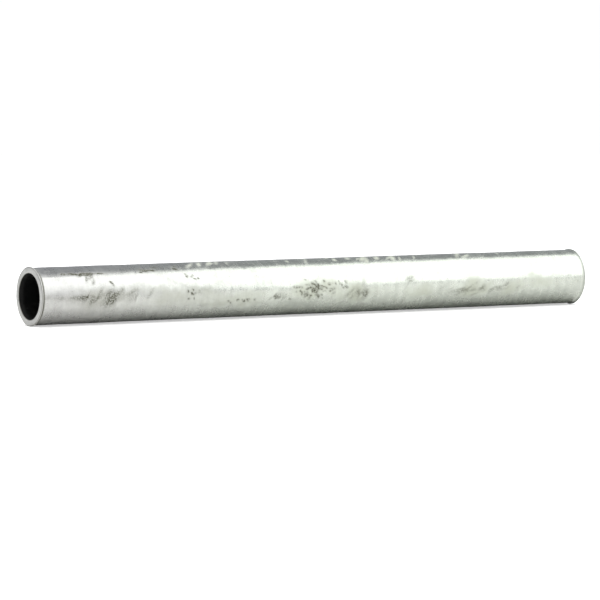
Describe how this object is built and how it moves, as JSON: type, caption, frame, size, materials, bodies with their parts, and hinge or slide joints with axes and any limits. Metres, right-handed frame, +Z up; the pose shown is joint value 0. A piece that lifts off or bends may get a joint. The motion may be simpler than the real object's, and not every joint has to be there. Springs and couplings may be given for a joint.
{
  "type": "galvanized pipe nipple",
  "caption": "Short straight length of galvanized steel pipe with plain square-cut ends, a proud zinc lip round each end and an open bore.",
  "frame": {"origin": "middle of the pipe's length, on its axis", "axes": "+X along the pipe from its near end to its far end, +Y across towards the back, +Z up"},
  "size_m": [0.3048, 0.0274, 0.0274],
  "materials": {
    "steel": "hot-rolled, pickled",
    "weld_steel": "as welded",
    "outer_zinc": "hot-dip galvanized, wiped, stained",
    "bore_zinc": "hot-dip galvanized, dull",
    "rim_zinc": "hot-dip galvanized, run-off lip"
  },
  "bodies": {
    "root": {"steel_tube": "steel", "seam_weld": "weld_steel", "zinc_outer_coat": "outer_zinc", "zinc_bore_coat": "bore_zinc", "zinc_near_rim": "rim_zinc", "zinc_far_rim": "rim_zinc"}
  },
  "joints": []
}
